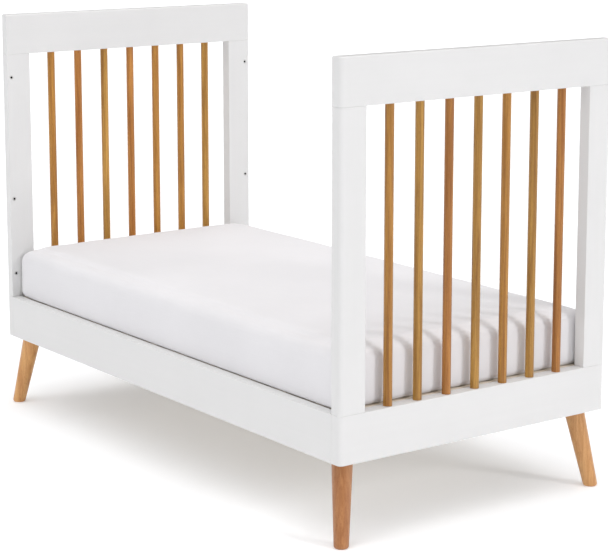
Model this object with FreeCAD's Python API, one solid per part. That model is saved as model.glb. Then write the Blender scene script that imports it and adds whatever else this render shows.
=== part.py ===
import FreeCAD, Part
import os

# Baby crib in its open toddler-bed form: two barred end panels, low side rails, slatted base, mattress.
#
# Frame: +X runs from the head to the foot, +Y from the front to the back, +Z is up. The origin is on the
# floor under the middle of the bed. All lengths are millimetres.

# Driving dimensions of the whole bed
BED_LENGTH = 1262.0
BED_WIDTH = 655.0
LEG_HEIGHT = 158.0
PANEL_HEIGHT = 735.0

# End panels
PANEL_THICK = 26.0
TOP_RAIL_HEIGHT = 89.0
BOTTOM_RAIL_HEIGHT = 92.0
POST_WIDTH = 57.0
CORNER_ROUND = 9.5
TOP_ROUND = 3.0
SOFT_EDGE = 1.0
SPINDLE_COUNT = 7
SPINDLE_RADIUS = 8.4
SPINDLE_PITCH = 69.6
SPINDLE_TENON = 16.0

# Side rails
SIDE_RAIL_THICK = 21.0

# Slatted base
SLAT_COUNT = 11
SLAT_WIDTH = 65.0
SLAT_THICK = 12.0
SLAT_END_GAP = 2.0
SLAT_SIDE_GAP = 8.0
SLAT_SCREW_INSET = 18.0
BEARER_SIZE = 30.0
BEARER_END_GAP = 1.0
BEARER_SCREWS = 6
BEARER_SCREW_END_INSET = 60.0

# Corner blocks, leg plates and legs; insets are measured inwards from the bed's outer faces
BLOCK_SIZE = 60.0
PLATE_THICK = 2.5
LEG_FOOT_INSET = (14.8, 15.2)
LEG_TOP_INSET = (44.0, 39.0)
LEG_TOP_RADIUS = 20.0
LEG_FOOT_RADIUS = 14.0
LEG_FOOT_ROUND = 4.5
LEG_SPARE = 12.0
PLATE_OUTLINE = ((6, 25), (82, 25), (82, 77), (20, 77), (20, 113), (6, 113))
PLATE_SCREW_INSETS = ((72.0, 33.0), (72.0, 69.0), (34.0, 69.0))
PAN_SCREW_INSET = (13.0, 105.5)

# Mattress and sheet
MATTRESS_SIZE = (1203.0, 622.0, 105.0)
MATTRESS_CORNER = 30.0
MATTRESS_EDGE = 16.0
SHEET_THICK = 1.0
SHEET_HEM = 70.0
SHEET_AIR = 0.4

# Fasteners; each countersunk screw is its shank radius, length and head radius
FIT = 0.15
HOLE_SPARE = 1.0
DOWEL_RADIUS = 4.0
DOWEL_LENGTH = 36.0
DOWEL_PAIR_PITCH = 28.0
INSERT_RADIUS = 4.75
INSERT_BORE = 2.5
INSERT_LENGTH = 13.0
INSERT_HOLE_SPARE = 1.5
INSERT_SIDE_INSET = 10.5
INSERT_HEIGHTS = (304.0, 476.0, 752.0)
CORNER_BOLT_RADIUS = 3.0
CORNER_BOLT_END = 11.0
BOLT_HEAD_RADIUS = 5.0
BOLT_HEAD_HEIGHT = 6.0
BOLT_SOCKET_RADIUS = 2.5
BOLT_SOCKET_DEPTH = 3.0
END_BOLT_HEIGHTS = (198.0, 226.0)
END_BOLT_INSET = 66.0
SIDE_BOLT_HEIGHTS = (184.0, 212.0)
SIDE_BOLT_INSET = 71.0
HANGER_RADIUS = 4.0
HANGER_IN_LEG = 30.0
HANGER_IN_BLOCK = 20.0
HANGER_HOLE_SPARE = 2.0
PLATE_SCREW = (2.0, 16.0, 4.0)
BEARER_SCREW = (2.25, 42.0, 4.5)
SLAT_SCREW = (2.0, 28.0, 4.0)
SCREW_TIP_RADIUS = 0.3
PAN_SCREW_RADIUS = 2.0
PAN_SCREW_LENGTH = 18.0
PAN_HEAD_RADIUS = 3.8
PAN_HEAD_HEIGHT = 4.0
PAN_HEAD_CROWN = 1.8

# Tolerances for picking edges
TOUCH = 0.01
PARALLEL = 0.999
SMOOTH_TURN = 0.9

# Heights and half sizes worked out from the above
HALF_LENGTH = BED_LENGTH / 2
HALF_WIDTH = BED_WIDTH / 2
RAIL_TOP = LEG_HEIGHT + BOTTOM_RAIL_HEIGHT
PANEL_TOP = LEG_HEIGHT + PANEL_HEIGHT
POST_TOP = PANEL_TOP - TOP_RAIL_HEIGHT
SLAT_BOTTOM = RAIL_TOP - SLAT_THICK
INNER_LENGTH = BED_LENGTH - 2 * PANEL_THICK
INNER_WIDTH = BED_WIDTH - 2 * SIDE_RAIL_THICK
MATTRESS_BOTTOM = RAIL_TOP + SHEET_AIR + SHEET_THICK + SHEET_AIR

ENDS = (("foot", 1), ("head", -1))
SIDES = (("front", -1), ("back", 1))
CORNERS = [(end, side, sx, sy) for end, sx in ENDS for side, sy in SIDES]
X_AXIS = FreeCAD.Vector(1, 0, 0)
Y_AXIS = FreeCAD.Vector(0, 1, 0)
Z_AXIS = FreeCAD.Vector(0, 0, 1)


def save(name, shape):
    shape.exportStep("parts/" + name + ".step")


def vec(x, y, z):
    return FreeCAD.Vector(x, y, z)


def box(low, high):
    """A box between two corners, given in any order."""
    start = [min(a, b) for a, b in zip(low, high)]
    size = [abs(a - b) for a, b in zip(low, high)]
    return Part.makeBox(size[0], size[1], size[2], vec(*start))


def rod(start, axis, radius, length):
    return Part.makeCylinder(radius, length, start, axis)


def inset_point(sx, sy, inset, z):
    """A point given by its insets from the outer faces of one corner of the bed."""
    return vec(sx * (HALF_LENGTH - inset[0]), sy * (HALF_WIDTH - inset[1]), z)


def along(edge, axis):
    """True when a straight edge runs along the given axis."""
    if edge.Curve.TypeId != "Part::GeomLine":
        return False
    direction = edge.Vertexes[1].Point - edge.Vertexes[0].Point
    return abs(direction.normalize().dot(axis)) > PARALLEL


def soften(shape, radius=SOFT_EDGE):
    """Ease every edge of a plain board."""
    return shape.makeFillet(radius, shape.Edges)


def round_outer_corners(shape, sx):
    """Round the upright edges on the outer face of an end panel's piece."""
    outer = sx * HALF_LENGTH
    edges = []
    for edge in shape.Edges:
        centre = edge.CenterOfMass
        on_face = abs(centre.x - outer) < TOUCH
        at_side = abs(abs(centre.y) - HALF_WIDTH) < TOUCH
        if along(edge, Z_AXIS) and on_face and at_side:
            edges.append(edge)
    return shape.makeFillet(CORNER_ROUND, edges)


def ease_panel_piece(shape, z_top=None):
    """Ease the edges of a panel piece, with a larger round along the top of the panel."""
    if z_top is not None:
        top = [e for e in shape.Edges if e.BoundBox.ZMin > z_top - TOUCH]
        shape = shape.makeFillet(TOP_ROUND, top)
        rest = [e for e in shape.Edges if e.BoundBox.ZMax < z_top - TOP_ROUND - TOUCH]
        return shape.makeFillet(SOFT_EDGE, rest)
    rest = [e for e in shape.Edges if not (along(e, Z_AXIS) and not is_sharp(e, shape))]
    return shape.makeFillet(SOFT_EDGE, rest)


def is_sharp(edge, shape):
    """True when the two faces that meet at an edge meet at a real corner."""
    faces = shape.ancestorsOfType(edge, Part.Face)
    middle = edge.valueAt((edge.FirstParameter + edge.LastParameter) / 2)
    normals = [f.normalAt(*f.Surface.parameter(middle)) for f in faces]
    return abs(normals[0].dot(normals[1])) < SMOOTH_TURN


def spindle_offsets():
    middle = (SPINDLE_COUNT - 1) / 2
    return [(i - middle) * SPINDLE_PITCH for i in range(SPINDLE_COUNT)]


def panel_mid_x(sx):
    return sx * (HALF_LENGTH - PANEL_THICK / 2)


def dowel_points():
    """Centres of the dowels in the butt joints above and below every post."""
    points = []
    for _, _, sx, sy in CORNERS:
        for z in (RAIL_TOP, POST_TOP):
            for offset in (-DOWEL_PAIR_PITCH / 2, DOWEL_PAIR_PITCH / 2):
                y = sy * (HALF_WIDTH - POST_WIDTH / 2) + offset
                points.append(vec(panel_mid_x(sx), y, z))
    return points


def dowel_holes(sx):
    start_drop = vec(0, 0, DOWEL_LENGTH / 2 + HOLE_SPARE)
    return [rod(p - start_drop, Z_AXIS, DOWEL_RADIUS + FIT, DOWEL_LENGTH + 2 * HOLE_SPARE)
            for p in dowel_points() if p.x * sx > 0]


def side_insert_seats(sx):
    """Mouth centres of the inserts for the high cot sides, on the inner faces of the posts."""
    x = sx * (HALF_LENGTH - PANEL_THICK)
    return [vec(x, sy * (HALF_WIDTH - INSERT_SIDE_INSET), z)
            for _, sy in SIDES for z in INSERT_HEIGHTS]


def corner_bolt_seats():
    """The mouth of each corner bolt's insert in its rail, and the way into the bed from there."""
    seats = []
    for _, _, sx, sy in CORNERS:
        for z in END_BOLT_HEIGHTS:
            mouth = inset_point(sx, sy, (PANEL_THICK, END_BOLT_INSET), z)
            seats.append((mouth, X_AXIS * -sx))
        for z in SIDE_BOLT_HEIGHTS:
            mouth = inset_point(sx, sy, (SIDE_BOLT_INSET, SIDE_RAIL_THICK), z)
            seats.append((mouth, Y_AXIS * -sy))
    return seats


def insert_hole(mouth, inwards):
    start = mouth + inwards * HOLE_SPARE
    return rod(start, inwards * -1, INSERT_RADIUS + FIT, HOLE_SPARE + INSERT_LENGTH + INSERT_HOLE_SPARE)


def insert(mouth, inwards, bore):
    """A threaded insert, its mouth flush with the face it sits in."""
    body = rod(mouth, inwards * -1, INSERT_RADIUS, INSERT_LENGTH)
    return body.cut(rod(mouth, inwards * -1, bore, INSERT_LENGTH))


def corner_bolt(mouth, inwards):
    head_seat = mouth + inwards * BLOCK_SIZE
    length = BLOCK_SIZE + CORNER_BOLT_END
    shank = rod(head_seat, inwards * -1, CORNER_BOLT_RADIUS, length)
    head = rod(head_seat, inwards, BOLT_HEAD_RADIUS, BOLT_HEAD_HEIGHT)
    socket_floor = head_seat + inwards * (BOLT_HEAD_HEIGHT - BOLT_SOCKET_DEPTH)
    socket = rod(socket_floor, inwards, BOLT_SOCKET_RADIUS, BOLT_HEAD_HEIGHT)
    return shank.fuse(head).removeSplitter().cut(socket)


def countersunk_screw(head_face, axis, radius, length, head_radius):
    """A screw with the middle of its flat head at head_face and its shank running along axis."""
    head_height = head_radius - radius
    head = Part.makeCone(head_radius, radius, head_height, head_face, axis)
    shank = rod(head_face + axis * head_height, axis, radius, length - head_height - radius)
    tip = Part.makeCone(radius, SCREW_TIP_RADIUS, radius, head_face + axis * (length - radius), axis)
    return head.fuse([shank, tip]).removeSplitter()


def countersunk_hole(head_face, axis, radius, length, head_radius):
    """The hole that clears a countersunk screw by FIT all round."""
    start = head_face - axis * FIT
    return countersunk_screw(start, axis, radius + FIT, length + 4 * FIT, head_radius + 2 * FIT)


def plate_screw_seats():
    return [inset_point(sx, sy, inset, LEG_HEIGHT)
            for _, _, sx, sy in CORNERS for inset in PLATE_SCREW_INSETS]


def bearer_half_length():
    return HALF_LENGTH - PANEL_THICK - BLOCK_SIZE - BEARER_END_GAP


def bearer_screw_seats():
    """Head seats of the screws through each bearer, with the way they are driven."""
    reach = bearer_half_length() - BEARER_SCREW_END_INSET
    z = SLAT_BOTTOM - BEARER_SIZE / 2
    y = HALF_WIDTH - SIDE_RAIL_THICK - BEARER_SIZE
    steps = [2 * i / (BEARER_SCREWS - 1) - 1 for i in range(BEARER_SCREWS)]
    return [(vec(step * reach, sy * y, z), Y_AXIS * sy) for _, sy in SIDES for step in steps]


def slat_centres():
    first = INNER_LENGTH / 2 - SLAT_END_GAP - SLAT_WIDTH / 2
    return [first - i * 2 * first / (SLAT_COUNT - 1) for i in range(SLAT_COUNT)]


def slat_screw_seats(x):
    y = HALF_WIDTH - SIDE_RAIL_THICK - SLAT_SCREW_INSET
    return [vec(x, sy * y, RAIL_TOP) for _, sy in SIDES]


def slat_screw_holes():
    down = Z_AXIS * -1
    return [countersunk_hole(seat, down, *SLAT_SCREW)
            for x in slat_centres() for seat in slat_screw_seats(x)]


def leg_axis(sx, sy):
    """Foot point, top point and unit direction of one leg's centre line."""
    foot = inset_point(sx, sy, LEG_FOOT_INSET, 0)
    top = inset_point(sx, sy, LEG_TOP_INSET, LEG_HEIGHT)
    direction = (top - foot).normalize()
    return foot, top, direction


def leg(sx, sy):
    """A turned, tapered leg, cut level at the floor and under the plate."""
    foot, top, direction = leg_axis(sx, sy)
    span = (top - foot).Length
    slope = (LEG_TOP_RADIUS - LEG_FOOT_RADIUS) / span
    low = LEG_FOOT_RADIUS - slope * LEG_SPARE
    high = LEG_TOP_RADIUS + slope * LEG_SPARE
    cone = Part.makeCone(low, high, span + 2 * LEG_SPARE, foot - direction * LEG_SPARE, direction)
    slab = box((-HALF_LENGTH, -HALF_WIDTH, 0), (HALF_LENGTH, HALF_WIDTH, LEG_HEIGHT))
    turned = cone.common(slab)
    foot_edges = [e for e in turned.Edges if e.BoundBox.ZMax < TOUCH]
    turned = turned.makeFillet(LEG_FOOT_ROUND, foot_edges)
    return turned.cut(hanger_hole(sx, sy))


def hanger_bolt(sx, sy):
    _, top, direction = leg_axis(sx, sy)
    length = HANGER_IN_LEG + HANGER_IN_BLOCK
    return rod(top - direction * HANGER_IN_LEG, direction, HANGER_RADIUS, length)


def hanger_hole(sx, sy):
    _, top, direction = leg_axis(sx, sy)
    length = HANGER_IN_LEG + HANGER_IN_BLOCK + 2 * HANGER_HOLE_SPARE
    start = top - direction * (HANGER_IN_LEG + HANGER_HOLE_SPARE)
    return rod(start, direction, HANGER_RADIUS + FIT, length)


def plate_blank(sx, sy, grow):
    """The leg plate's outline as a slab, grown by a clearance for its recess."""
    points = [inset_point(sx, sy, inset, LEG_HEIGHT) for inset in PLATE_OUTLINE]
    face = Part.Face(Part.makePolygon(points + points[:1]))
    if grow:
        face = face.makeOffset2D(grow)
    return face.extrude(vec(0, 0, PLATE_THICK + grow))


def leg_plate(sx, sy):
    plate = plate_blank(sx, sy, 0)
    holes = [hanger_hole(sx, sy)]
    for inset in PLATE_SCREW_INSETS:
        holes.append(countersunk_hole(inset_point(sx, sy, inset, LEG_HEIGHT), Z_AXIS, *PLATE_SCREW))
    pan = inset_point(sx, sy, PAN_SCREW_INSET, LEG_HEIGHT)
    holes.append(rod(pan, Z_AXIS, PAN_SCREW_RADIUS + FIT, PLATE_THICK))
    return plate.cut(holes)


def pan_screw(sx, sy):
    seat = inset_point(sx, sy, PAN_SCREW_INSET, LEG_HEIGHT)
    head = rod(seat, Z_AXIS * -1, PAN_HEAD_RADIUS, PAN_HEAD_HEIGHT)
    crown = [e for e in head.Edges if e.BoundBox.ZMax < LEG_HEIGHT - PAN_HEAD_HEIGHT + TOUCH]
    head = head.makeFillet(PAN_HEAD_CROWN, crown)
    return head.fuse(rod(seat, Z_AXIS, PAN_SCREW_RADIUS, PAN_SCREW_LENGTH)).removeSplitter()


def pan_screw_hole(sx, sy):
    seat = inset_point(sx, sy, PAN_SCREW_INSET, LEG_HEIGHT)
    return rod(seat, Z_AXIS, PAN_SCREW_RADIUS + FIT, PAN_SCREW_LENGTH + HOLE_SPARE)


def corner_block(sx, sy):
    """The wooden block inside one corner, under the end slats."""
    low = inset_point(sx, sy, (PANEL_THICK, SIDE_RAIL_THICK), LEG_HEIGHT)
    high = inset_point(sx, sy, (PANEL_THICK + BLOCK_SIZE, SIDE_RAIL_THICK + BLOCK_SIZE), SLAT_BOTTOM)
    block = box(low, high)
    cuts = [plate_blank(sx, sy, FIT), hanger_hole(sx, sy)]
    for mouth, inwards in corner_bolt_seats():
        cuts.append(rod(mouth, inwards, CORNER_BOLT_RADIUS + FIT, BLOCK_SIZE))
    for seat in plate_screw_seats():
        cuts.append(countersunk_hole(seat, Z_AXIS, *PLATE_SCREW))
    return block.cut(near(cuts + slat_screw_holes(), block))


def near(tools, shape):
    """Only the cutting tools whose boxes reach the shape's box."""
    reach = shape.BoundBox
    return [tool for tool in tools if reach.intersect(tool.BoundBox)]


def spindle_sockets(sx, z, axis):
    """Blind holes for the spindle ends, from the face at height z into a panel rail."""
    depth = SPINDLE_TENON + HOLE_SPARE
    return [rod(vec(panel_mid_x(sx), y, z), axis, SPINDLE_RADIUS + FIT, depth) for y in spindle_offsets()]


def top_rail(sx):
    low = (sx * (HALF_LENGTH - PANEL_THICK), -HALF_WIDTH, POST_TOP)
    rail = box(low, (sx * HALF_LENGTH, HALF_WIDTH, PANEL_TOP))
    rail = ease_panel_piece(round_outer_corners(rail, sx), PANEL_TOP)
    holes = spindle_sockets(sx, POST_TOP, Z_AXIS) + dowel_holes(sx)
    return rail.cut(near(holes, rail))


def bottom_rail(sx):
    low = (sx * (HALF_LENGTH - PANEL_THICK), -HALF_WIDTH, LEG_HEIGHT)
    rail = box(low, (sx * HALF_LENGTH, HALF_WIDTH, RAIL_TOP))
    rail = ease_panel_piece(round_outer_corners(rail, sx))
    holes = spindle_sockets(sx, RAIL_TOP, Z_AXIS * -1) + dowel_holes(sx)
    holes += [insert_hole(mouth, way) for mouth, way in corner_bolt_seats() if abs(way.x) > 0.5]
    for _, sy in SIDES:
        holes.append(plate_blank(sx, sy, FIT))
        holes.append(pan_screw_hole(sx, sy))
    return rail.cut(near(holes, rail))


def post(sx, sy):
    low = inset_point(sx, sy, (0, 0), RAIL_TOP)
    high = inset_point(sx, sy, (PANEL_THICK, POST_WIDTH), POST_TOP)
    board = ease_panel_piece(round_outer_corners(box(low, high), sx))
    holes = dowel_holes(sx) + [insert_hole(mouth, X_AXIS * -sx) for mouth in side_insert_seats(sx)]
    return board.cut(near(holes, board))


def spindle(sx, y):
    start = vec(panel_mid_x(sx), y, RAIL_TOP - SPINDLE_TENON)
    return rod(start, Z_AXIS, SPINDLE_RADIUS, POST_TOP - RAIL_TOP + 2 * SPINDLE_TENON)


def side_rail(sy):
    half = INNER_LENGTH / 2
    low = (-half, sy * (HALF_WIDTH - SIDE_RAIL_THICK), LEG_HEIGHT)
    rail = soften(box(low, (half, sy * HALF_WIDTH, RAIL_TOP)))
    holes = [insert_hole(mouth, way) for mouth, way in corner_bolt_seats() if abs(way.y) > 0.5]
    holes += [countersunk_hole(seat, way, *BEARER_SCREW) for seat, way in bearer_screw_seats()]
    return rail.cut(near(holes, rail))


def base_bearer(sy):
    half = bearer_half_length()
    outer = HALF_WIDTH - SIDE_RAIL_THICK
    low = (-half, sy * (outer - BEARER_SIZE), SLAT_BOTTOM - BEARER_SIZE)
    bearer = box(low, (half, sy * outer, SLAT_BOTTOM))
    holes = [countersunk_hole(seat, way, *BEARER_SCREW) for seat, way in bearer_screw_seats()]
    return bearer.cut(near(holes + slat_screw_holes(), bearer))


def slat(x):
    half = INNER_WIDTH / 2 - SLAT_SIDE_GAP
    board = soften(box((x - SLAT_WIDTH / 2, -half, SLAT_BOTTOM), (x + SLAT_WIDTH / 2, half, RAIL_TOP)))
    return board.cut([countersunk_hole(seat, Z_AXIS * -1, *SLAT_SCREW) for seat in slat_screw_seats(x)])


def rounded_slab(length, width, bottom, top, corner, edge):
    """A slab with round corners in plan and eased top and bottom edges."""
    slab = box((-length / 2, -width / 2, bottom), (length / 2, width / 2, top))
    slab = slab.makeFillet(corner, [e for e in slab.Edges if along(e, Z_AXIS)])
    level = [e for e in slab.Edges if e.BoundBox.ZLength < TOUCH]
    return slab.makeFillet(edge, level)


def mattress():
    length, width, height = MATTRESS_SIZE
    top = MATTRESS_BOTTOM + height
    return rounded_slab(length, width, MATTRESS_BOTTOM, top, MATTRESS_CORNER, MATTRESS_EDGE)


def fitted_sheet():
    """A thin skin round the mattress, open underneath inside its hem."""
    length, width, height = MATTRESS_SIZE
    top = MATTRESS_BOTTOM + height
    skins = []
    for grow in (SHEET_AIR + SHEET_THICK, SHEET_AIR):
        skins.append(rounded_slab(length + 2 * grow, width + 2 * grow, MATTRESS_BOTTOM - grow, top + grow,
                                  MATTRESS_CORNER + grow, MATTRESS_EDGE + grow))
    below = MATTRESS_BOTTOM - SHEET_AIR - 2 * SHEET_THICK
    opening = box((SHEET_HEM - length / 2, SHEET_HEM - width / 2, below),
                  (length / 2 - SHEET_HEM, width / 2 - SHEET_HEM, MATTRESS_BOTTOM + SHEET_THICK))
    return skins[0].cut([skins[1], opening])


def save_end_panels():
    for end, sx in ENDS:
        save(end + "_top_rail", top_rail(sx))
        save(end + "_bottom_rail", bottom_rail(sx))
        for side, sy in SIDES:
            save(end + "_" + side + "_post", post(sx, sy))
        for number, y in enumerate(spindle_offsets(), start=1):
            save(end + "_spindle_" + str(number), spindle(sx, y))


def save_sides_and_base():
    for side, sy in SIDES:
        save(side + "_side_rail", side_rail(sy))
        save(side + "_base_bearer", base_bearer(sy))
    for number, x in enumerate(slat_centres(), start=1):
        save("base_slat_%02d" % number, slat(x))


def save_corners():
    for end, side, sx, sy in CORNERS:
        name = end + "_" + side
        save(name + "_leg", leg(sx, sy))
        save(name + "_leg_plate", leg_plate(sx, sy))
        save(name + "_corner_block", corner_block(sx, sy))


def save_fasteners():
    drop = vec(0, 0, DOWEL_LENGTH / 2)
    dowels = [rod(p - drop, Z_AXIS, DOWEL_RADIUS, DOWEL_LENGTH) for p in dowel_points()]
    side_inserts = [insert(mouth, X_AXIS * -sx, INSERT_BORE)
                    for _, sx in ENDS for mouth in side_insert_seats(sx)]
    bolt_bore = CORNER_BOLT_RADIUS + FIT
    rail_inserts = [insert(mouth, way, bolt_bore) for mouth, way in corner_bolt_seats()]
    corner_bolts = [corner_bolt(mouth, way) for mouth, way in corner_bolt_seats()]
    hanger_bolts = [hanger_bolt(sx, sy) for _, _, sx, sy in CORNERS]
    pan_screws = [pan_screw(sx, sy) for _, _, sx, sy in CORNERS]
    plate_screws = [countersunk_screw(seat, Z_AXIS, *PLATE_SCREW) for seat in plate_screw_seats()]
    bearer_screws = [countersunk_screw(seat, way, *BEARER_SCREW) for seat, way in bearer_screw_seats()]
    slat_screws = [countersunk_screw(seat, Z_AXIS * -1, *SLAT_SCREW)
                   for x in slat_centres() for seat in slat_screw_seats(x)]
    save("post_dowels", Part.makeCompound(dowels))
    save("side_fixing_inserts", Part.makeCompound(side_inserts))
    save("corner_bolt_inserts", Part.makeCompound(rail_inserts))
    save("corner_bolts", Part.makeCompound(corner_bolts))
    save("leg_hanger_bolts", Part.makeCompound(hanger_bolts))
    save("leg_plate_pan_screws", Part.makeCompound(pan_screws))
    save("leg_plate_screws", Part.makeCompound(plate_screws))
    save("bearer_screws", Part.makeCompound(bearer_screws))
    save("slat_screws", Part.makeCompound(slat_screws))


def main():
    os.makedirs("parts", exist_ok=True)
    save_end_panels()
    save_sides_and_base()
    save_corners()
    save_fasteners()
    save("mattress", mattress())
    save("fitted_sheet", fitted_sheet())


main()
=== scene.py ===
import math

import bpy
import bmesh
from mathutils import Matrix, Vector, noise
from mathutils.bvhtree import BVHTree


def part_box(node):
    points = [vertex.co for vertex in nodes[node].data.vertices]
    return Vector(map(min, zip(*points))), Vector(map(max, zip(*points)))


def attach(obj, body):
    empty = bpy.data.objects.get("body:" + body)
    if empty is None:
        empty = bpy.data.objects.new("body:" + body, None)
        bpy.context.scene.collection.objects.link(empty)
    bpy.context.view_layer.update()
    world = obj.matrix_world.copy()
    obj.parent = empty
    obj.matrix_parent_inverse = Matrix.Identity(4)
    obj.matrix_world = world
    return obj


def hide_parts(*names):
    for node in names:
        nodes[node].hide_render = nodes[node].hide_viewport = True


# Mini cot bed in its toddler form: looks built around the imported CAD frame. All lengths are metres.

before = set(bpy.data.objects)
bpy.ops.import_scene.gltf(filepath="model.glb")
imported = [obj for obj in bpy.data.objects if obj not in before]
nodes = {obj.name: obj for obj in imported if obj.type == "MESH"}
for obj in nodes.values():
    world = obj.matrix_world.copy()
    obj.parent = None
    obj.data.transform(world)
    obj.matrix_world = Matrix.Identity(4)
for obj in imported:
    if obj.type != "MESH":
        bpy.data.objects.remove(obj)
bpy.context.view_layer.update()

ENDS = ("foot", "head")
SIDES = ("front", "back")
INSERT_MOUTH_X = min(abs(corner.x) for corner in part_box("foot_front_post"))
CAMERA_PLACE = (3.3056, -2.3590, 1.2086)
CAMERA_AZIMUTH = 53.87
CAMERA_TILT = 9.566
CAMERA_LENS = 115.5
CAMERA_SHIFT_Y = -0.1316

# The dome's strength is SKY_HORIZON plus SKY_OVERHEAD times the SKY_NARROWING power of the height's sine.
SKY_COLOUR = (1.0, 0.99, 0.985, 1.0)
SKY_HORIZON = 0.10
SKY_OVERHEAD = 2.62
SKY_NARROWING = 5.0
FLOOR_SIZE = 400
FLOOR_GLOW = 0.20

# Light and dark tones of the beech streaks. The lightness per end is painted light: the head bars are
# painted lighter than the foot bars to even out the shade that each panel stands in.
SPINDLE_TONES = {
    "straw": ((0.49, 0.262, 0.048), (0.27, 0.120, 0.009)),
    "honey": ((0.48, 0.228, 0.036), (0.27, 0.104, 0.006)),
    "rose": ((0.47, 0.200, 0.036), (0.27, 0.092, 0.007)),
}
SPINDLE_ORDER = {
    "foot": ("honey", "straw", "rose", "straw", "honey", "straw", "rose"),
    "head": ("honey", "rose", "straw", "rose", "honey", "honey", "straw"),
}
SPINDLE_PAINTED_LIGHT = {"foot": 1.06, "head": 1.28}
# Light and dark streak tones of each leg. The differences between the legs are partly tone that differs
# between pieces and partly painted light and shade, set per leg for the light it stands in; the near
# foot-end leg is painted darkest.
LEG_TONES_AND_SHADE = {
    "foot_front": ((0.49, 0.220, 0.082), (0.37, 0.142, 0.045)),
    "foot_back": ((0.71, 0.385, 0.150), (0.55, 0.255, 0.084)),
    "head_front": ((0.78, 0.425, 0.155), (0.60, 0.275, 0.084)),
    "head_back": ((0.63, 0.340, 0.130), (0.48, 0.220, 0.070)),
}
SLAT_COUNT = 11


# ---------------------------------------------------------------- node helpers

def new_material(name):
    material = bpy.data.materials.new(name)
    material.use_nodes = True
    tree = material.node_tree
    tree.nodes.clear()
    output = tree.nodes.new("ShaderNodeOutputMaterial")
    shader = tree.nodes.new("ShaderNodeBsdfPrincipled")
    tree.links.new(shader.outputs["BSDF"], output.inputs["Surface"])
    return material, tree, shader


def mapped(tree, scale, offset=(0, 0, 0), turn=(0, 0, 0)):
    """The piece's own coordinates, moved, turned and scaled."""
    place = tree.nodes.new("ShaderNodeTexCoord")
    mapping = tree.nodes.new("ShaderNodeMapping")
    mapping.inputs["Location"].default_value = offset
    mapping.inputs["Rotation"].default_value = turn
    mapping.inputs["Scale"].default_value = scale
    tree.links.new(place.outputs["Object"], mapping.inputs["Vector"])
    return mapping.outputs["Vector"]


def noise_node(tree, vector, scale, detail=4.0, roughness=0.55, distortion=0.0):
    node = tree.nodes.new("ShaderNodeTexNoise")
    node.inputs["Scale"].default_value = scale
    node.inputs["Detail"].default_value = detail
    node.inputs["Roughness"].default_value = roughness
    node.inputs["Distortion"].default_value = distortion
    tree.links.new(vector, node.inputs["Vector"])
    return node.outputs["Fac"]


def ramp(tree, value, stops):
    """A colour ramp; stops are (place, colour) pairs."""
    node = tree.nodes.new("ShaderNodeValToRGB")
    elements = node.color_ramp.elements
    while len(elements) < len(stops):
        elements.new(0.5)
    for element, (place, colour) in zip(elements, stops):
        element.position = place
        element.color = (*colour, 1.0)
    tree.links.new(value, node.inputs["Fac"])
    return node.outputs["Color"]


def remap(tree, value, low, high, new_low, new_high):
    node = tree.nodes.new("ShaderNodeMapRange")
    node.inputs["From Min"].default_value = low
    node.inputs["From Max"].default_value = high
    node.inputs["To Min"].default_value = new_low
    node.inputs["To Max"].default_value = new_high
    tree.links.new(value, node.inputs["Value"])
    return node.outputs["Result"]


def math_node(tree, operation, first, second):
    node = tree.nodes.new("ShaderNodeMath")
    node.operation = operation
    for socket, value in zip(node.inputs, (first, second)):
        if isinstance(value, (int, float)):
            socket.default_value = value
        else:
            tree.links.new(value, socket)
    return node.outputs["Value"]


def mix_colour(tree, mode, factor, first, second):
    node = tree.nodes.new("ShaderNodeMix")
    node.data_type = "RGBA"
    node.blend_type = mode
    for socket, value in ((node.inputs[0], factor), (node.inputs[6], first), (node.inputs[7], second)):
        if isinstance(value, bpy.types.NodeSocket):
            tree.links.new(value, socket)
        elif isinstance(value, (int, float)):
            socket.default_value = value
        else:
            socket.default_value = (*value, 1.0)
    return node.outputs[2]


def add_bump(tree, shader, height, strength, distance):
    node = tree.nodes.new("ShaderNodeBump")
    node.inputs["Strength"].default_value = strength
    node.inputs["Distance"].default_value = distance
    tree.links.new(height, node.inputs["Height"])
    tree.links.new(node.outputs["Normal"], shader.inputs["Normal"])


# ---------------------------------------------------------------- materials

def painted_wood(name, along):
    """White satin paint on a board; along is the board's length axis, 0 to 2."""
    material, tree, shader = new_material(name)
    grain_scale = [60.0, 60.0, 60.0]
    grain_scale[along] = 2.2
    grain = noise_node(tree, mapped(tree, grain_scale), 1.0, 5.0, 0.6, 0.4)
    peel = noise_node(tree, mapped(tree, (1, 1, 1)), 900.0, 2.0)
    patch = noise_node(tree, mapped(tree, (1, 1, 1)), 7.0, 3.0)
    colour = ramp(tree, patch, [(0.3, (0.724, 0.722, 0.718)), (0.7, (0.742, 0.740, 0.736))])
    shade = ramp(tree, grain, [(0.35, (0.988, 0.988, 0.988)), (0.65, (1, 1, 1))])
    tree.links.new(mix_colour(tree, "MULTIPLY", 1.0, colour, shade), shader.inputs["Base Color"])
    tree.links.new(remap(tree, patch, 0.3, 0.7, 0.36, 0.46), shader.inputs["Roughness"])
    height = math_node(tree, "ADD", math_node(tree, "MULTIPLY", grain, 0.7),
                       math_node(tree, "MULTIPLY", peel, 0.3))
    add_bump(tree, shader, height, 0.14, 0.0004)
    shader.inputs["Coat Weight"].default_value = 0.12
    shader.inputs["Coat Roughness"].default_value = 0.25
    return material


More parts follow.
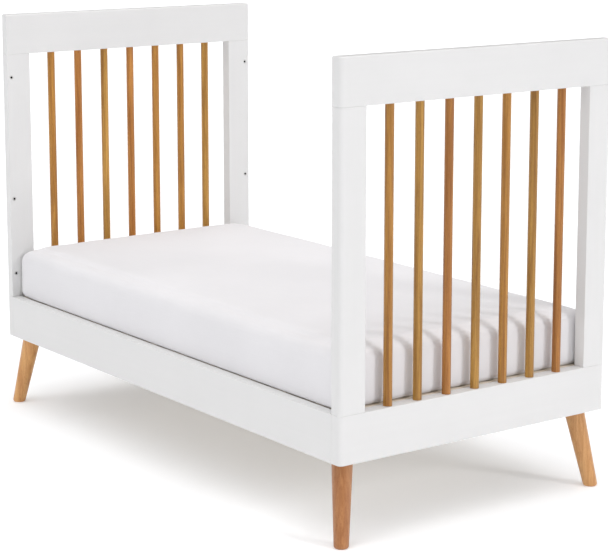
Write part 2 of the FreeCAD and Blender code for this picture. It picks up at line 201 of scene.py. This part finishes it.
def clear_beech(name, light, dark, seed):
    """Lacquered upright beech: long streaks, short dark flecks and a slow change of tone."""
    material, tree, shader = new_material(name)
    offset = (seed * 0.37, seed * 0.61, seed * 0.23)
    streaks = noise_node(tree, mapped(tree, (150, 150, 5), offset), 1.0, 6.0, 0.62, 0.6)
    flecks = noise_node(tree, mapped(tree, (900, 900, 130), offset), 1.0, 2.0, 0.5)
    slow = noise_node(tree, mapped(tree, (26, 26, 3), offset), 1.0, 3.0)
    middle = tuple((a + b) / 2 for a, b in zip(light, dark))
    colour = ramp(tree, streaks, [(0.36, dark), (0.50, middle), (0.64, light)])
    tone = ramp(tree, slow, [(0.3, (0.86, 0.83, 0.80)), (0.7, (1.0, 1.0, 1.0))])
    colour = mix_colour(tree, "MULTIPLY", 1.0, colour, tone)
    spots = ramp(tree, flecks, [(0.30, (0.62, 0.50, 0.42)), (0.42, (1.0, 1.0, 1.0))])
    colour = mix_colour(tree, "MULTIPLY", 0.55, colour, spots)
    tree.links.new(colour, shader.inputs["Base Color"])
    tree.links.new(remap(tree, streaks, 0.3, 0.7, 0.44, 0.34), shader.inputs["Roughness"])
    height = math_node(tree, "ADD", math_node(tree, "MULTIPLY", streaks, 0.6),
                       math_node(tree, "MULTIPLY", flecks, 0.4))
    add_bump(tree, shader, height, 0.35, 0.0004)
    shader.inputs["Specular IOR Level"].default_value = 0.42
    shader.inputs["Coat Weight"].default_value = 0.28
    shader.inputs["Coat Roughness"].default_value = 0.30
    return material


def raw_wood(name, along, seed):
    """Plain sawn wood; along is the piece's length axis, 0 to 2, and seed picks its grain."""
    material, tree, shader = new_material(name)
    offset = (seed * 0.31, seed * 0.17, seed * 0.53)
    ring_scale = [34.0, 34.0, 34.0]
    ring_scale[along] = 1.3
    fibre_scale = [420.0, 420.0, 420.0]
    fibre_scale[along] = 9.0
    rings = noise_node(tree, mapped(tree, ring_scale, offset), 1.0, 3.0, 0.5, 1.4)
    fibres = noise_node(tree, mapped(tree, fibre_scale, offset), 1.0, 3.0, 0.6)
    bands = ramp(tree, rings, [(0.30, (0.68, 0.59, 0.48)), (0.46, (0.80, 0.73, 0.63)),
                               (0.54, (0.74, 0.66, 0.55)), (0.70, (0.84, 0.78, 0.69))])
    fine = ramp(tree, fibres, [(0.3, (0.86, 0.84, 0.82)), (0.6, (1, 1, 1))])
    tree.links.new(mix_colour(tree, "MULTIPLY", 1.0, bands, fine), shader.inputs["Base Color"])
    tree.links.new(remap(tree, fibres, 0.3, 0.7, 0.75, 0.6), shader.inputs["Roughness"])
    add_bump(tree, shader, fibres, 0.4, 0.0005)
    return material


def zinc_steel(name, colour):
    """Zinc plated steel with a fine spangle and light scratches."""
    material, tree, shader = new_material(name)
    spangle = noise_node(tree, mapped(tree, (1, 1, 1)), 160.0, 3.0)
    scratch = noise_node(tree, mapped(tree, (60, 900, 900)), 1.0, 4.0)
    dark = tuple(c * 0.82 for c in colour)
    tree.links.new(ramp(tree, spangle, [(0.35, dark), (0.65, colour)]), shader.inputs["Base Color"])
    shader.inputs["Metallic"].default_value = 1.0
    tree.links.new(remap(tree, scratch, 0.3, 0.7, 0.28, 0.45), shader.inputs["Roughness"])
    add_bump(tree, shader, scratch, 0.15, 0.0002)
    return material


def woven_cotton(name, colour, thread, sheen):
    """A plain weave: two crossed waves of threads, with slubs and a soft nap."""
    material, tree, shader = new_material(name)
    place = mapped(tree, (1, 1, 1))
    threads = []
    for turn in ((0, 0, 0), (0, 0, math.pi / 2), (0, math.pi / 2, 0)):
        wave = tree.nodes.new("ShaderNodeTexWave")
        wave.wave_type = "BANDS"
        wave.bands_direction = "X"
        wave.inputs["Scale"].default_value = 1.0 / thread / 20
        wave.inputs["Distortion"].default_value = 0.6
        wave.inputs["Detail"].default_value = 1.0
        tree.links.new(mapped(tree, (1, 1, 1), (0, 0, 0), turn), wave.inputs["Vector"])
        threads.append(wave.outputs["Fac"])
    weave = math_node(tree, "MULTIPLY", math_node(tree, "ADD", threads[0], threads[1]), threads[2])
    slubs = noise_node(tree, mapped(tree, (25, 400, 400)), 1.0, 3.0)
    cloud = noise_node(tree, place, 5.0, 3.0)
    nap = noise_node(tree, place, 1400.0, 2.0)
    low = tuple(c * 0.965 for c in colour)
    base = ramp(tree, cloud, [(0.3, low), (0.7, colour)])
    shade = ramp(tree, slubs, [(0.3, (0.988, 0.988, 0.988)), (0.65, (1, 1, 1))])
    tree.links.new(mix_colour(tree, "MULTIPLY", 1.0, base, shade), shader.inputs["Base Color"])
    tree.links.new(remap(tree, nap, 0.3, 0.7, 0.82, 0.95), shader.inputs["Roughness"])
    height = math_node(tree, "ADD", math_node(tree, "MULTIPLY", weave, 0.5),
                       math_node(tree, "MULTIPLY", nap, 0.5))
    add_bump(tree, shader, height, 0.3, 0.0003)
    shader.inputs["Sheen Weight"].default_value = sheen
    shader.inputs["Sheen Roughness"].default_value = 0.6
    return material


def insert_steel():
    """Zinc plated inserts whose threaded bores, beyond the post's face, are painted black as painted shade.
    """
    material = zinc_steel("insert_steel", (0.66, 0.66, 0.65))
    tree = material.node_tree
    shader = tree.nodes["Principled BSDF"]
    split = tree.nodes.new("ShaderNodeSeparateXYZ")
    tree.links.new(mapped(tree, (1, 1, 1)), split.inputs["Vector"])
    depth = math_node(tree, "ABSOLUTE", split.outputs["X"], 0.0)
    # Painted shade: the bore is painted black beyond the insert's mouth.
    shade = remap(tree, depth, INSERT_MOUTH_X, INSERT_MOUTH_X + 0.0006, 1.0, 0.0)
    colour = shader.inputs["Base Color"].links[0].from_socket
    bore_painted_shade = ramp(tree, shade, [(0.0, (0.0, 0.0, 0.0)), (1.0, (1.0, 1.0, 1.0))])
    tree.links.new(mix_colour(tree, "MULTIPLY", 1.0, colour, bore_painted_shade), shader.inputs["Base Color"])
    return material


def floor_paper():
    """Matt pale studio paper that glows a little, which keeps the shadow on it light."""
    material, tree, shader = new_material("floor_paper")
    soft = noise_node(tree, mapped(tree, (1, 1, 1)), 3.0, 2.0)
    tree.links.new(ramp(tree, soft, [(0.3, (0.885, 0.895, 0.91)), (0.7, (0.895, 0.905, 0.92))]),
                   shader.inputs["Base Color"])
    shader.inputs["Roughness"].default_value = 0.9
    shader.inputs["Specular IOR Level"].default_value = 0.1
    shader.inputs["Emission Color"].default_value = (1.0, 1.0, 1.0, 1.0)
    shader.inputs["Emission Strength"].default_value = FLOOR_GLOW
    return material


def assign(node_names, material):
    for name in node_names:
        slots = nodes[name].data.materials
        slots.clear()
        slots.append(material)


def dress_frame():
    """Gives every CAD node of the bed frame its finish."""
    across = painted_wood("white_paint_across", 1)
    upright = painted_wood("white_paint_upright", 2)
    lengthwise = painted_wood("white_paint_lengthwise", 0)
    for end in ENDS:
        assign([end + "_top_rail", end + "_bottom_rail"], across)
        assign([end + "_front_post", end + "_back_post"], upright)
    assign(["front_side_rail", "back_side_rail"], lengthwise)
    dress_spindles()
    dress_legs()
    dress_base()


def dress_spindles():
    """Each round bar gets its own streaks, in the tone that its place in SPINDLE_ORDER names."""
    for end_number, end in enumerate(ENDS):
        for number, tone in enumerate(SPINDLE_ORDER[end], start=1):
            # Painted light: the head bars' tones are lightened to even out the shade that the head panel
            # stands in.
            painted_light_factor = SPINDLE_PAINTED_LIGHT[end]
            light, dark = [tuple(c * painted_light_factor for c in shade) for shade in SPINDLE_TONES[tone]]
            name = end + "_spindle_" + str(number)
            assign([name], clear_beech("beech_" + name, light, dark, 1 + number + 9 * end_number))


def dress_legs():
    # Each leg's tone carries painted light and shade as well as its own tone.
    for seed, (corner, (light, dark)) in enumerate(LEG_TONES_AND_SHADE.items(), start=31):
        assign([corner + "_leg"], clear_beech("beech_" + corner + "_leg", light, dark, seed))


def dress_base():
    """The slatted base, the corner blocks and all the steel fixings."""
    for number in range(1, SLAT_COUNT + 1):
        name = "base_slat_%02d" % number
        assign([name], raw_wood("pine_" + name, 1, number))
    bearer = raw_wood("pine_bearer", 0, 20)
    block = raw_wood("pine_block", 2, 21)
    dowel = raw_wood("birch_dowel", 2, 22)
    assign(["front_base_bearer", "back_base_bearer"], bearer)
    steel = zinc_steel("zinc_steel", (0.62, 0.62, 0.60))
    for end in ENDS:
        for side in SIDES:
            assign([end + "_" + side + "_corner_block"], block)
            assign([end + "_" + side + "_leg_plate"], steel)
    assign(["post_dowels"], dowel)
    assign(["corner_bolt_inserts", "corner_bolts", "leg_hanger_bolts", "leg_plate_pan_screws",
            "leg_plate_screws", "bearer_screws", "slat_screws"], steel)
    assign(["side_fixing_inserts"], insert_steel())


# ---------------------------------------------------------------- mattress and sheet

# The mattress before it is filled is the CAD mattress's box, less margins in X and Y and a little higher.
START_MARGIN = (0.0006, 0.0036)
START_RISE = 0.0015
CROWN = 0.0030

# Radius of the plan corners: at the widest ring, its growth per metre further in, and its limit.
PLAN_CORNER = 0.009
PLAN_CORNER_GROWTH = 0.7
PLAN_CORNER_MOST = 0.028

# Radii of the upper and lower edges along the sides and the ends, and the stretch that blends them.
SIDE_EDGE = 0.024
END_EDGE = 0.021
SIDE_FOOT_EDGE = 0.003
END_FOOT_EDGE = 0.010
EDGE_BLEND = 0.020

# How far the filling may move a point along X, Y and Z.
OUTWARD_CAPS = (0.0024, 0.0036, 0.0055)
INWARD_CAPS = (0.0010, 0.0012, 0.0012)
SWELL_FRAMES = 14

# The sheet, with the elastic in its hem and the seams at its corners.
HEM_WIDTH = 0.070
HEM_CORNER = 0.030
HEM_STEP = 0.003
HEM_ROWS = ((-0.006, 1.0), (-0.002, 0.8), (0.003, 0.5), (0.008, 0.1))
HEM_THICKNESS = 0.0006
SHEET_GAP = 0.0012
SHEET_THICKNESS = 0.0008
PANEL_GAP = 0.0003
SEAM_PROFILE = ((-0.0016, -0.0001), (-0.0010, 0.0005), (0, 0.0008), (0.0010, 0.0005), (0.0016, -0.0001))
SEAM_STEPS = 46
SEAM_ANGLES = (-70, 62)
SEAM_THICKNESS = 0.0004
SHEET_COLOUR = (0.788, 0.780, 0.797)
TICKING_COLOUR = (0.78, 0.775, 0.76)

# Distances of the grid's lines from the mattress's ends, bottom and top.
EDGE_LINES = (0.0, 0.0015, 0.003, 0.006, 0.0095, 0.0135, 0.0175, 0.024, 0.031, 0.038, 0.046, 0.054, 0.062,
              0.070, 0.079, 0.088, 0.098, 0.109, 0.121)
LOW_LINES = (0.0, 0.0009, 0.0020, 0.003, 0.0060, 0.010)
HIGH_LINES = (0.0, 0.0020, 0.0055, 0.0105, 0.0165, 0.024)
MATTRESS_LOW, MATTRESS_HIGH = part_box("mattress")
START_HALF = (MATTRESS_HIGH.x - START_MARGIN[0], MATTRESS_HIGH.y - START_MARGIN[1])
START_HEIGHT = MATTRESS_HIGH.z - MATTRESS_LOW.z + START_RISE


def grid_lines(half, spacing=0.014):
    """Places from -half to half: close together near the ends and even in between."""
    inner = half - EDGE_LINES[-1]
    count = round(2 * inner / spacing)
    middle = [-inner + 2 * inner * i / count for i in range(1, count)]
    upper = [half - step for step in reversed(EDGE_LINES)]
    return [-place for place in reversed(upper)] + middle + upper


def height_lines(bottom, top, spacing=0.010):
    """Heights from bottom to top: close together at the edges and even in between."""
    low, high = bottom + LOW_LINES[-1], top - HIGH_LINES[-1]
    count = round((high - low) / spacing)
    middle = [low + (high - low) * i / count for i in range(1, count)]
    return [bottom + step for step in LOW_LINES] + middle + [top - step for step in reversed(HIGH_LINES)]


def slab_point(x, y, z, half, bottom, top):
    """Bends a point of a plain box onto a slab with round plan corners and round top and bottom edges."""
    inset = min(half[0] - abs(x), half[1] - abs(y))
    end_share = (half[1] - abs(y) + EDGE_BLEND) / (sum(half) - abs(x) - abs(y) + 2 * EDGE_BLEND)
    if z > (bottom + top) / 2:
        edge = SIDE_EDGE + (END_EDGE - SIDE_EDGE) * end_share
        core_z = min(z, top - edge)
    else:
        edge = SIDE_FOOT_EDGE + (END_FOOT_EDGE - SIDE_FOOT_EDGE) * end_share
        core_z = max(z, bottom + edge)
    over, rise = edge - inset, z - core_z
    if over > 0 and rise != 0:
        bend = Vector((over, rise)).normalized() * max(over, abs(rise))
        inset, rise = edge - bend.x, bend.y
    ring = (half[0] - inset, half[1] - inset)
    corner = min(PLAN_CORNER + PLAN_CORNER_GROWTH * inset, PLAN_CORNER_MOST, *ring)
    place = Vector([max(-limit, min(limit, c)) for c, limit in zip((x, y), ring)])
    core = Vector([max(corner - limit, min(limit - corner, c)) for c, limit in zip(place, ring)])
    away = place - core
    reach = max(abs(away.x), abs(away.y))
    middle = (1 - (x / half[0]) ** 2) * (1 - (y / half[1]) ** 2)
    crown = CROWN * middle * (z - bottom) / (top - bottom)
    return Vector((*(core + away.normalized() * reach), core_z + rise + crown))


def slab_mesh(name, half, bottom, top):
    """A closed grid of quads bent into a mattress shape."""
    xs, ys, zs = grid_lines(half[0]), grid_lines(half[1]), height_lines(bottom, top)
    mesh = bmesh.new()
    found = {}

    def vertex(x, y, z):
        key = (round(x, 6), round(y, 6), round(z, 6))
        if key not in found:
            found[key] = mesh.verts.new(slab_point(x, y, z, half, bottom, top))
        return found[key]

    def quad(*corners):
        mesh.faces.new([vertex(*corner) for corner in corners])

    for x0, x1 in zip(xs, xs[1:]):
        for y0, y1 in zip(ys, ys[1:]):
            quad((x0, y0, top), (x1, y0, top), (x1, y1, top), (x0, y1, top))
            quad((x0, y1, bottom), (x1, y1, bottom), (x1, y0, bottom), (x0, y0, bottom))
    for z0, z1 in zip(zs, zs[1:]):
        for x0, x1 in zip(xs, xs[1:]):
            quad((x0, -half[1], z0), (x1, -half[1], z0), (x1, -half[1], z1), (x0, -half[1], z1))
            quad((x1, half[1], z0), (x0, half[1], z0), (x0, half[1], z1), (x1, half[1], z1))
        for y0, y1 in zip(ys, ys[1:]):
            quad((half[0], y0, z0), (half[0], y1, z0), (half[0], y1, z1), (half[0], y0, z1))
            quad((-half[0], y1, z0), (-half[0], y0, z0), (-half[0], y0, z1), (-half[0], y1, z1))
    return piece_from(mesh, name)


def piece_from(mesh, name):
    """Turns a bmesh into a smooth-shaded object in the scene."""
    data = bpy.data.meshes.new(name)
    mesh.to_mesh(data)
    mesh.free()
    data.polygons.foreach_set("use_smooth", [True] * len(data.polygons))
    piece = bpy.data.objects.new(name, data)
    bpy.context.scene.collection.objects.link(piece)
    return piece


def limited(move, start):
    """A point's move from start, held softly within the caps for outward and inward moves."""
    kept = []
    for axis in range(3):
        way = 1 if axis == 2 or start[axis] > 0 else -1
        out = move[axis] * way
        cap = (OUTWARD_CAPS if out > 0 else INWARD_CAPS)[axis]
        kept.append(way * cap * math.tanh(out / cap))
    return Vector(kept)


def swell(piece, bottom):
    """Fills the mattress by cloth simulation, with its underside held flat, and limits how far it moves."""
    scene = bpy.context.scene
    start = [vertex.co.copy() for vertex in piece.data.vertices]
    held = piece.vertex_groups.new(name="held")
    held.add([i for i, place in enumerate(start) if place.z < bottom + LOW_LINES[1]], 1.0, "REPLACE")
    cloth = piece.modifiers.new("filling", "CLOTH")
    cloth.settings.quality = 5
    cloth.settings.mass = 0.25
    cloth.settings.tension_stiffness = 25
    cloth.settings.compression_stiffness = 25
    cloth.settings.shear_stiffness = 8
    cloth.settings.bending_stiffness = 1.5
    cloth.settings.use_pressure = True
    cloth.settings.uniform_pressure_force = 4.0
    cloth.settings.effector_weights.gravity = 0.0
    cloth.settings.vertex_group_mass = held.name
    cloth.collision_settings.use_collision = False
    cloth.point_cache.frame_end = SWELL_FRAMES
    for frame_number in range(1, SWELL_FRAMES + 1):
        scene.frame_set(frame_number)
    settled = piece.evaluated_get(bpy.context.evaluated_depsgraph_get())
    ends = [vertex.co.copy() for vertex in settled.data.vertices]
    piece.modifiers.remove(cloth)
    piece.vertex_groups.remove(held)
    scene.frame_set(1)
    for vertex, before, after in zip(piece.data.vertices, start, ends):
        vertex.co = before + limited(after - before, before)


def make_mattress():
    """The filled mattress in its woven cover."""
    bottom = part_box("mattress")[0].z
    piece = slab_mesh("mattress_core", START_HALF, bottom, bottom + START_HEIGHT)
    swell(piece, bottom)
    piece.data.materials.append(woven_cotton("mattress_ticking", TICKING_COLOUR, 0.0018, 0.1))
    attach(piece, "mattress")
    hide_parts("mattress")
    return piece


def unevenness(place):
    """The small waves of a sheet pulled over a soft mattress."""
    broad = noise.noise(Vector((place.x * 7, place.y * 7, place.z * 10)))
    fine = noise.noise(Vector((place.x * 26 + 5, place.y * 26, place.z * 20)))
    return 0.0010 * broad + 0.0004 * fine


def faces_down_within(face, limits):
    """Whether a face looks down and its middle is inside the limits in X and Y."""
    middle = face.calc_center_median()
    return face.normal.z < -0.9 and abs(middle.x) < limits[0] and abs(middle.y) < limits[1]


def make_sheet(core):
    """The fitted sheet: the mattress's own skin moved outwards, open under the middle inside its hem."""
    mesh = bmesh.new()
    mesh.from_mesh(core.data)
    mesh.normal_update()
    inner = [limit - HEM_WIDTH for limit in START_HALF]
    under = [face for face in mesh.faces if faces_down_within(face, inner)]
    moves = [(vert, vert.normal.copy()) for vert in mesh.verts]
    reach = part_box("foot_bottom_rail")[0].x - PANEL_GAP
    for vert, normal in moves:
        extra = unevenness(vert.co) if normal.z > -0.3 else 0.0
        vert.co += normal * (SHEET_GAP + extra)
        vert.co.x = max(-reach, min(reach, vert.co.x))
    bmesh.ops.delete(mesh, geom=under, context="FACES")
    piece = piece_from(mesh, "fitted_sheet_cloth")
    solid = piece.modifiers.new("thickness", "SOLIDIFY")
    solid.thickness = SHEET_THICKNESS
    solid.offset = -1.0
    smooth = piece.modifiers.new("smooth", "SUBSURF")
    smooth.levels = smooth.render_levels = 1
    piece.data.materials.append(woven_cotton("sheet_cotton", SHEET_COLOUR, 0.0011, 0.12))
    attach(piece, "mattress")
    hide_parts("fitted_sheet")
    return piece


def loop_point(step, half, corner):
    """A point at a distance round a rectangle with round corners, and the way outwards there."""
    straights = (2 * (half[0] - corner), 2 * (half[1] - corner))
    turn = math.pi / 2 * corner
    side = 0
    while step > straights[side % 2] + turn:
        step -= straights[side % 2] + turn
        side += 1
    angle = side * math.pi / 2
    local_half = (half[0], half[1]) if side % 2 == 0 else (half[1], half[0])
    start = Vector((-(local_half[0] - corner), -(local_half[1] - corner)))
    if step <= straights[side % 2]:
        place = start + Vector((step, -corner))
        outwards = Vector((0, -1))
    else:
        bend = (step - straights[side % 2]) / corner
        outwards = Vector((math.sin(bend), -math.cos(bend)))
        place = start + Vector((straights[side % 2], 0)) + outwards * corner
    rotation = Matrix.Rotation(angle, 2)
    return rotation @ place, rotation @ outwards


def elastic_hem(bottom):
    """The gathered elastic edge of the sheet, lying flat under the mattress."""
    half = [limit - HEM_WIDTH for limit in START_HALF]
    straight = 4 * (half[0] + half[1] - 2 * HEM_CORNER)
    around = straight + 2 * math.pi * HEM_CORNER
    count = round(around / HEM_STEP)
    mesh = bmesh.new()
    rings = []
    for number in range(count):
        place, outwards = loop_point(number * around / count, half, HEM_CORNER)
        wave = math.sin(number * 2.1 + 1.7 * math.sin(number * 0.13))
        ring = []
        for offset, share in HEM_ROWS:
            spot = place + outwards * offset
            ring.append(mesh.verts.new((spot.x, spot.y, bottom - 0.0008 + 0.0004 * share * wave)))
        rings.append(ring)
    for first, second in zip(rings, rings[1:] + rings[:1]):
        for i in range(len(HEM_ROWS) - 1):
            mesh.faces.new((first[i], second[i], second[i + 1], first[i + 1]))
    piece = piece_from(mesh, "sheet_elastic_hem")
    solid = piece.modifiers.new("thickness", "SOLIDIFY")
    solid.thickness = HEM_THICKNESS
    solid.offset = 0.0
    piece.data.materials.append(bpy.data.materials["sheet_cotton"])
    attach(piece, "mattress")
    return piece


def corner_seam(sheet, sign_x, sign_y, bottom):
    """A raised sewn seam down one corner of the sheet, laid on the sheet's own surface."""
    tree = BVHTree.FromObject(sheet, bpy.context.evaluated_depsgraph_get())
    axis = Vector((sign_x * (START_HALF[0] - PLAN_CORNER), sign_y * (START_HALF[1] - PLAN_CORNER), 0))
    outwards = Vector((sign_x, sign_y, 0)).normalized()
    side = Vector((-outwards.y, outwards.x, 0))
    lowest, highest = SEAM_ANGLES
    mesh = bmesh.new()
    rows = []
    for number in range(SEAM_STEPS + 1):
        angle = math.radians(lowest + (highest - lowest) * number / SEAM_STEPS)
        origin = axis + Vector((0, 0, bottom + START_HEIGHT / 2))
        aim = outwards * math.cos(angle) * 0.05 + Vector((0, 0, math.sin(angle) * 0.1))
        hit, normal, _, _ = tree.ray_cast(origin + aim * 3, -aim.normalized())
        if hit is None:
            continue
        pucker = 1 + 0.25 * math.sin(number * 1.9)
        rows.append([mesh.verts.new(hit + side * across + normal * rise * pucker)
                     for across, rise in SEAM_PROFILE])
    for first, second in zip(rows, rows[1:]):
        for i in range(len(SEAM_PROFILE) - 1):
            mesh.faces.new((first[i], first[i + 1], second[i + 1], second[i]))
    piece = piece_from(mesh, "sheet_seam_" + ("foot" if sign_x > 0 else "head")
                       + ("_back" if sign_y > 0 else "_front"))
    solid = piece.modifiers.new("thickness", "SOLIDIFY")
    solid.thickness = SEAM_THICKNESS
    solid.offset = 0.0
    piece.data.materials.append(bpy.data.materials["sheet_cotton"])
    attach(piece, "mattress")
    return piece


def make_bedding():
    """The mattress and its fitted sheet, with the sheet's hem and corner seams."""
    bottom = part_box("mattress")[0].z
    core = make_mattress()
    sheet = make_sheet(core)
    trims = [elastic_hem(bottom)]
    for sign_x in (1, -1):
        for sign_y in (-1, 1):
            trims.append(corner_seam(sheet, sign_x, sign_y, bottom))


# ---------------------------------------------------------------- stage

def make_stage():
    """A floor that reaches past the camera's view."""
    bpy.ops.mesh.primitive_plane_add(size=FLOOR_SIZE, location=(0, 0, 0))
    floor = bpy.context.object
    floor.name = "studio_floor"
    floor.data.materials.append(floor_paper())


def soft_sun(name, bearing, height, angle, power, colour):
    """A large soft light from one side: bearing is degrees from +X towards +Y, height is degrees up."""
    data = bpy.data.lights.new(name, "SUN")
    data.energy = power
    data.angle = math.radians(angle)
    data.color = colour
    light = bpy.data.objects.new(name, data)
    towards = Vector((math.cos(math.radians(bearing)) * math.cos(math.radians(height)),
                      math.sin(math.radians(bearing)) * math.cos(math.radians(height)),
                      math.sin(math.radians(height))))
    light.rotation_mode = "QUATERNION"
    light.rotation_quaternion = (-towards).to_track_quat("-Z", "Y")
    light.location = towards * 5
    bpy.context.scene.collection.objects.link(light)


def make_sky():
    """A plain dome that is brightest overhead and dim near the horizon."""
    world = bpy.data.worlds.new("studio_world")
    bpy.context.scene.world = world
    world.use_nodes = True
    tree = world.node_tree
    background = tree.nodes["Background"]
    background.inputs["Color"].default_value = SKY_COLOUR
    place = tree.nodes.new("ShaderNodeTexCoord")
    split = tree.nodes.new("ShaderNodeSeparateXYZ")
    tree.links.new(place.outputs["Generated"], split.inputs["Vector"])
    up = math_node(tree, "MAXIMUM", split.outputs["Z"], 0.0)
    rising = math_node(tree, "MULTIPLY", math_node(tree, "POWER", up, SKY_NARROWING), SKY_OVERHEAD)
    tree.links.new(math_node(tree, "ADD", rising, SKY_HORIZON), background.inputs["Strength"])


def make_lights():
    """The dome, a key light past the foot end, and a broad light on the front side."""
    make_sky()
    soft_sun("key_right", 24, 22, 16, 1.05, (1.0, 0.99, 1.0))
    soft_sun("front_soft", -76, 38, 60, 0.94, (0.985, 0.985, 1.0))


def make_camera():
    """The fixed camera; its shift keeps the upright edges nearly upright."""
    data = bpy.data.cameras.new("photo_camera")
    data.sensor_fit = "HORIZONTAL"
    data.sensor_width = 36.0
    data.lens = CAMERA_LENS
    data.shift_y = CAMERA_SHIFT_Y
    data.clip_end = 100
    camera = bpy.data.objects.new("photo_camera", data)
    camera.location = CAMERA_PLACE
    camera.rotation_euler = (math.radians(90 - CAMERA_TILT), 0, math.radians(CAMERA_AZIMUTH))
    bpy.context.scene.collection.objects.link(camera)
    bpy.context.scene.camera = camera


def set_colours():
    """Plain display colours, with no film look."""
    scene = bpy.context.scene
    scene.view_settings.view_transform = "Standard"
    scene.view_settings.look = "None"
    scene.view_settings.exposure = 0.0
    scene.view_settings.gamma = 1.0


make_camera()
make_lights()
make_stage()
set_colours()
dress_frame()
make_bedding()
